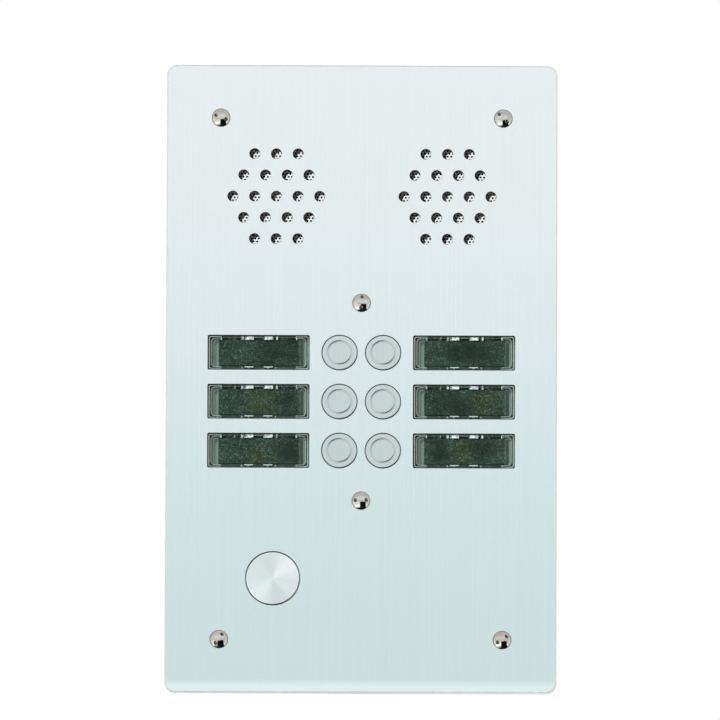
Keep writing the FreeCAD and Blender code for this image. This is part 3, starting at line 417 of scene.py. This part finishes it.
def blob(x, z, rx, rz):
    """Soft patch for a stain or a shaded patch, brightest at (x, z) millimetres and gone at rx, rz."""
    ax = m.math("MULTIPLY", m.math("SUBTRACT", lx, x * 1e-3), 1000.0 / rx)
    az = m.math("MULTIPLY", m.math("SUBTRACT", lz, z * 1e-3), 1000.0 / rz)
    r = m.math("SQRT", m.math("ADD", m.math("MULTIPLY", ax, ax), m.math("MULTIPLY", az, az)))
    return m.maprange(m.math("ADD", r, m.maprange(tone, 0.3, 0.7, -0.25, 0.25)), 0.15, 1.0, 1.0, 0.0)


def most(blobs):
    v = blob(*blobs[0])
    for q in blobs[1:]:
        v = m.math("MAXIMUM", v, blob(*q))
    return v


# stains and shaded patches differ from card to card
olive = most(((-46, -11.5, 11, 9), (-46, -36, 9, 6), (56, -11, 10, 9), (46, -34, 8, 8)))
shade = most(((-40, 12, 13, 9), (-34, -11, 9, 8), (-34, -34, 10, 8), (48, 12, 18, 8), (42, -11, 15, 9), (56, -34, 10, 8), (36, -34, 7, 8)))
col = m.ramp(tone, ((0.35, lin(26, 44, 40)), (0.65, lin(46, 62, 52))))
col = m.mix(m.math("MULTIPLY", olive, 0.85), col, lin(52, 56, 22))
col = m.mix(m.math("MULTIPLY", shade, 0.75), col, lin(8, 18, 16))
grain = m.math("MULTIPLY", m.maprange(spk, 0.80, 0.95, 0.0, 1.0), m.maprange(shade, 0.0, 0.8, 0.9, 0.25))
col = m.mix(grain, col, lin(100, 116, 102))
col = m.mix(m.maprange(spk, 0.35, 0.10, 0.0, 0.5), col, lin(5, 12, 11))
m.set(base=col, rough=m.maprange(spk, 0.3, 0.7, 0.4, 0.6), spec=0.1, normal=m.bump(spk, 0.15, 0.00004))
MATS["label_card"] = m.m


def window_clear():
    """Clear moulded cover: see-through, with a raised rounded frame drawn as painted highlight lines, painted shade in
    the moat and beyond the rim, milky ends painted lighter as painted light (the left brighter), and painted highlights
    for the clips along the two long sides.
    """
    m = Mat("clear_cover")
    gx, gy, gz = m.xyz(m.coords((1, 1, 1), kind="Generated"))
    # millimetres from the middle of the cover, on the 49.4 x 18.4 flange
    u = m.math("MULTIPLY", m.math("SUBTRACT", gx, 0.5), 49.4)
    w = m.math("MULTIPLY", m.math("SUBTRACT", gz, 0.5), 18.4)
    front = m.maprange(gy, 0.30, 0.45, 1.0, 0.0)
    smear = m.noise(m.coords((210, 210, 120), offset=(3, 3, 3)), 1.0, 5.0, 0.6, 0.5)
    dust = m.noise(m.coords((2100, 2100, 2100), offset=(0.2, 1.2, 9)), 1.0, 2.0, 0.6)

    def frame(hx, hz, r):
        ax = m.math("SUBTRACT", m.math("ABSOLUTE", u), hx - r)
        az = m.math("SUBTRACT", m.math("ABSOLUTE", w), hz - r)
        px, pz = m.math("MAXIMUM", ax, 0.0), m.math("MAXIMUM", az, 0.0)
        out = m.math("SQRT", m.math("ADD", m.math("MULTIPLY", px, px), m.math("MULTIPLY", pz, pz)))
        inn = m.math("MINIMUM", m.math("MAXIMUM", ax, az), 0.0)
        return m.math("SUBTRACT", m.math("ADD", out, inn), r)

    def line(d, width, soft):
        return m.maprange(m.math("ABSOLUTE", d), width, width + soft, 1.0, 0.0)

    outer = frame(22.72, 7.45, 0.6)          # painted highlight line along the edge of the cover's rim
    inner = frame(21.75, 6.75, 1.9)          # raised field, rounded corners, with a painted highlight line along its edge
    l_out = line(outer, 0.05, 0.10)
    l_in = line(inner, 0.05, 0.12)
    moat_shade = m.math("MULTIPLY", m.maprange(inner, 0.10, 0.30, 0.0, 1.0), m.maprange(outer, -0.12, -0.3, 0.0, 1.0))   # painted shade: the moat between them painted dark
    # painted shade: the border beyond the cover's rim painted dark
    rim = m.maprange(outer, 0.15, 0.35, 0.0, 1.0)
    # the painted highlight lines show at the two ends only; along the sides the painted clip highlights and the clips
    # take over
    ends = m.maprange(m.math("ABSOLUTE", u), 16.9, 17.3, 0.0, 1.0)
    left = m.math("MULTIPLY", m.maprange(u, -18.6, -18.0, 1.0, 0.0), m.maprange(inner, -0.05, -0.35, 0.0, 1.0))
    right = m.math("MULTIPLY", m.maprange(u, 18.3, 19.0, 0.0, 1.0), m.maprange(inner, -0.05, -0.35, 0.0, 1.0))
    def bar_row(rows):
        stops = [(0.0, 0.0)]
        for c, wd, k in rows:
            stops += [((c - wd / 2 + 24.7) / 49.4, k), ((c + wd / 2 + 24.7) / 49.4, 0.0)]
        return m.ramp(m.maprange(u, -24.7, 24.7, 0.0, 1.0), tuple(sorted(stops)), "CONSTANT")

    # painted highlights: white bars on the cover in front of the clips, standing in for the lit clips
    top_bars = bar_row(((-17.25, 0.36, 0.8), (-13.7, 0.24, 0.3), (-10.9, 0.24, 0.45), (-7.6, 1.0, 0.7), (-4.0, 3.3, 0.92), (4.6, 3.7, 0.92),
                        (8.4, 0.9, 0.8), (10.6, 0.24, 0.28), (13.0, 0.2, 0.28), (17.25, 0.38, 0.85)))
    low_bars = bar_row(((-17.2, 0.3, 0.35), (-13.9, 0.2, 0.25), (-7.7, 0.5, 0.7), (-4.7, 0.9, 0.4), (4.2, 1.0, 0.4), (7.7, 0.5, 0.55), (10.4, 0.2, 0.25), (17.2, 0.3, 0.45)))
    top = m.math("MULTIPLY", m.maprange(w, 5.95, 6.15, 0.0, 1.0), m.maprange(w, 7.45, 7.65, 1.0, 0.0))
    low = m.math("MULTIPLY", m.maprange(w, -6.75, -6.95, 0.0, 1.0), m.maprange(w, -7.55, -7.75, 1.0, 0.0))
    chip = m.maprange(m.noise(m.coords((900, 900, 900), offset=(5, 1, 1)), 1.0, 2.0, 0.5), 0.40, 0.50, 0.45, 1.0)
    clip_highlight_bars = m.math("MULTIPLY", m.math("ADD", m.math("MULTIPLY", top_bars, top), m.math("MULTIPLY", low_bars, low)), chip)
    painted_clip_highlights = clip_highlight_bars
    # painted light: the two solid ends painted milky, the left brighter than the right
    end_light = m.math("ADD", m.math("MULTIPLY", left, 0.115), m.math("MULTIPLY", right, 0.065))
    end_light = m.math("MULTIPLY", end_light, m.maprange(smear, 0.3, 0.7, 0.7, 1.2))
    grains = m.maprange(dust, 0.60, 0.70, 0.0, 0.06)
    haze = m.math("ADD", m.maprange(smear, 0.45, 0.8, 0.004, 0.02), grains)
    dark = m.math("MAXIMUM", moat_shade, rim)
    lights = m.math("MAXIMUM", m.math("MULTIPLY", m.math("MAXIMUM", m.math("MULTIPLY", l_out, 0.75), m.math("MULTIPLY", l_in, 0.50)), ends), painted_clip_highlights)
    bright = m.math("MULTIPLY", lights, front)
    a = m.math("MAXIMUM", m.math("ADD", haze, end_light), m.math("MULTIPLY", m.math("MULTIPLY", dark, front), 0.88))
    a = m.math("MAXIMUM", a, bright)
    a = m.math("MINIMUM", a, 0.95)
    # painted shade in the moat and beyond the rim, painted highlights on the frame lines and clip bars
    col = m.mix(m.math("MULTIPLY", dark, front), lin(150, 170, 158), (0.004, 0.008, 0.008))
    col = m.mix(bright, col, (0.93, 0.96, 0.94))
    m.set(base=col, rough=m.maprange(smear, 0.3, 0.7, 0.14, 0.26), spec=0.5, metal=m.math("MULTIPLY", bright, 0.8))
    clear = m.n("ShaderNodeBsdfTransparent")
    clear.inputs["Color"].default_value = (0.90, 0.94, 0.93, 1.0)
    fres = m.n("ShaderNodeFresnel")
    fres.inputs["IOR"].default_value = 1.49
    amount = m.math("MINIMUM", m.math("ADD", a, m.math("MULTIPLY", fres.outputs[0], 0.22)), 1.0)
    mx = m.n("ShaderNodeMixShader")
    m.link(amount, mx.inputs[0])
    m.link(clear.outputs[0], mx.inputs[1])
    m.link(m.b.outputs[0], mx.inputs[2])
    m.link(mx.outputs[0], m.out.inputs["Surface"])
    return m.m


MATS["window_clear"] = window_clear()

slots = {s["node"]: s["material_slot"] for s in frame["record"]["subparts"]}
for name, obj in N.items():
    mat = MATS[slots[name]]
    obj.data.materials.clear()
    obj.data.materials.append(mat)

# ---------------------------------------------------------------------------
# stage: pale floor, soft sky, softbox in front, key light from the upper left
# ---------------------------------------------------------------------------
def card(name, size_x, size_z, centre, mat, normal_to=None):
    bm = bmesh.new()
    bmesh.ops.create_grid(bm, x_segments=1, y_segments=1, size=0.5)
    me = bpy.data.meshes.new(name)
    bm.to_mesh(me)
    bm.free()
    o = bpy.data.objects.new(name, me)
    scene.collection.objects.link(o)
    me.materials.append(mat)
    o.scale = (size_x, size_z, 1)
    o.location = centre
    if normal_to is not None:
        d = (Vector(normal_to) - Vector(centre)).normalized()
        o.rotation_mode = "QUATERNION"
        o.rotation_quaternion = d.to_track_quat("Z", "Y")
    return o


fl = Mat("studio_floor")
nz = fl.noise(fl.coords((3, 3, 3)), 1.0, 4.0, 0.5)
fl.set(base=fl.ramp(nz, ((0.3, (0.80, 0.80, 0.79)), (0.7, (0.86, 0.86, 0.85)))), rough=0.75)
floor = card("floor", 5.0, 5.0, (0.0, 0.0, -1.0), fl.m)
floor.visible_glossy = False

soft = bpy.data.materials.new("softbox_gradient")
soft.use_nodes = True
t = soft.node_tree
t.nodes.clear()
out = t.nodes.new("ShaderNodeOutputMaterial")
em = t.nodes.new("ShaderNodeEmission")
tc = t.nodes.new("ShaderNodeTexCoord")
geo = t.nodes.new("ShaderNodeNewGeometry")
sep = t.nodes.new("ShaderNodeSeparateXYZ")
t.links.new(geo.outputs["Position"], sep.inputs[0])
mr = t.nodes.new("ShaderNodeMapRange")
mr.inputs[1].default_value, mr.inputs[2].default_value = -0.30, 1.10
t.links.new(sep.outputs[2], mr.inputs[0])
cr = t.nodes.new("ShaderNodeValToRGB")
e = cr.color_ramp.elements
stops = ((0.0, (0.58, 0.72, 0.71)), (0.335, (0.61, 0.775, 0.775)), (0.40, (0.67, 0.82, 0.825)), (0.455, (0.765, 0.87, 0.90)), (0.515, (1.04, 1.02, 1.04)), (0.535, (1.05, 1.03, 1.04)), (0.60, (0.95, 0.95, 0.96)), (1.0, (0.88, 0.90, 0.91)))
while len(e) < len(stops):
    e.new(0.5)
for el, (p, c) in zip(e, stops):
    el.position = p
    el.color = (c[0], c[1], c[2], 1.0)
t.links.new(mr.outputs[0], cr.inputs[0])
t.links.new(cr.outputs[0], em.inputs["Color"])
em.inputs["Strength"].default_value = 1.12
t.links.new(em.outputs[0], out.inputs["Surface"])
box = card("softbox", 3.2, 1.42, (0.0, -1.55, 0.69), soft, normal_to=(0.0, 0.0, 0.69))
box.visible_camera = False
box.visible_diffuse = False
box.visible_shadow = False

white = bpy.data.materials.new("bounce_white")
white.use_nodes = True
wt = white.node_tree
wt.nodes.clear()
wout = wt.nodes.new("ShaderNodeOutputMaterial")
wem = wt.nodes.new("ShaderNodeEmission")
wem.inputs["Color"].default_value = (0.86, 0.90, 0.90, 1.0)
wem.inputs["Strength"].default_value = 1.0
wt.links.new(wem.outputs[0], wout.inputs["Surface"])
bounce = card("bounce", 0.24, 0.036, (0.0, -0.046, -0.157), white)      # a strip just below the plate, seen only by its lower rim
bounce.visible_camera = False
bounce.visible_diffuse = False
bounce.visible_shadow = False

world = bpy.data.worlds.new("studio")
scene.world = world
world.use_nodes = True
w = world.node_tree
w.nodes.clear()
wo = w.nodes.new("ShaderNodeOutputWorld")
wtc = w.nodes.new("ShaderNodeTexCoord")
wsep = w.nodes.new("ShaderNodeSeparateXYZ")
w.links.new(wtc.outputs["Generated"], wsep.inputs[0])


def wnode(kind, *ins, **props):
    nd = w.nodes.new(kind)
    for k, v in props.items():
        setattr(nd, k, v)
    for i, v in enumerate(ins):
        if v is None:
            continue
        if isinstance(v, (int, float)):
            nd.inputs[i].default_value = v
        else:
            w.links.new(v, nd.inputs[i])
    return nd


def wrange(v, a, b, c, d):
    return wnode("ShaderNodeMapRange", v, a, b, c, d).outputs[0]


def wmix(fac, a, b):
    nd = wnode("ShaderNodeMix", data_type="RGBA")
    for sock, v in ((nd.inputs[0], fac), (nd.inputs[6], a), (nd.inputs[7], b)):
        if isinstance(v, tuple):
            sock.default_value = v + (1.0,)
        elif isinstance(v, (int, float)):
            sock.default_value = v
        else:
            w.links.new(v, sock)
    return nd.outputs[2]


vx, vy, vz = wsep.outputs
deep = wrange(vz, -0.52, -0.34, 0.0, 1.0)                                                       # whiter where only domed parts look
lower = wmix(wrange(vx, -0.16, -0.08, 0.0, 1.0), wmix(deep, (1.9, 1.9, 1.85), (1.2, 1.2, 1.17)), (0.008, 0.008, 0.008))      # white low on the left, black in the middle
lower = wmix(wrange(vx, 0.60, 0.68, 0.0, 1.0), lower, wmix(deep, (1.5, 1.48, 1.4), (1.05, 1.04, 1.0)))                          # and white again at the far right
upper = wmix(wrange(vz, 0.0, 0.55, 0.0, 1.0), (0.98, 0.96, 0.90), (0.80, 0.79, 0.76))
sky = wmix(wrange(vz, -0.06, 0.0, 0.0, 1.0), lower, upper)
sky = wmix(wrange(vz, -0.80, -0.60, 1.0, 0.0), sky, (0.02, 0.02, 0.02))
sky = wmix(wrange(vz, -0.95, -0.90, 1.0, 0.0), sky, (0.95, 0.97, 0.97))
sky = wmix(wrange(vy, 0.35, 0.6, 0.0, 1.0), sky, (0.96, 0.98, 0.98))
glossy_bg = w.nodes.new("ShaderNodeBackground")
w.links.new(sky, glossy_bg.inputs["Color"])
glossy_bg.inputs["Strength"].default_value = 1.0
diff_bg = w.nodes.new("ShaderNodeBackground")
diff_bg.inputs["Color"].default_value = (0.96, 0.98, 1.0, 1.0)
diff_bg.inputs["Strength"].default_value = 0.035
cam_bg = w.nodes.new("ShaderNodeBackground")
cam_bg.inputs["Color"].default_value = (1, 1, 1, 1)
cam_bg.inputs["Strength"].default_value = 1.0
lp = w.nodes.new("ShaderNodeLightPath")
m1 = w.nodes.new("ShaderNodeMixShader")
m2 = w.nodes.new("ShaderNodeMixShader")
w.links.new(lp.outputs["Is Glossy Ray"], m1.inputs[0])
w.links.new(diff_bg.outputs[0], m1.inputs[1])
w.links.new(glossy_bg.outputs[0], m1.inputs[2])
w.links.new(lp.outputs["Is Camera Ray"], m2.inputs[0])
w.links.new(m1.outputs[0], m2.inputs[1])
w.links.new(cam_bg.outputs[0], m2.inputs[2])
w.links.new(m2.outputs[0], wo.inputs["Surface"])

key = bpy.data.lights.new("key", "SUN")
key.energy = 5.2
key.angle = math.radians(4.0)
key.color = (1.0, 0.995, 0.98)
ko = bpy.data.objects.new("key", key)
scene.collection.objects.link(ko)
ko.visible_glossy = False
d = Vector((0.55, 0.76, -0.35))
ko.rotation_mode = "QUATERNION"
ko.rotation_quaternion = d.to_track_quat("-Z", "Y")
ko.location = (-1, -2, 1)
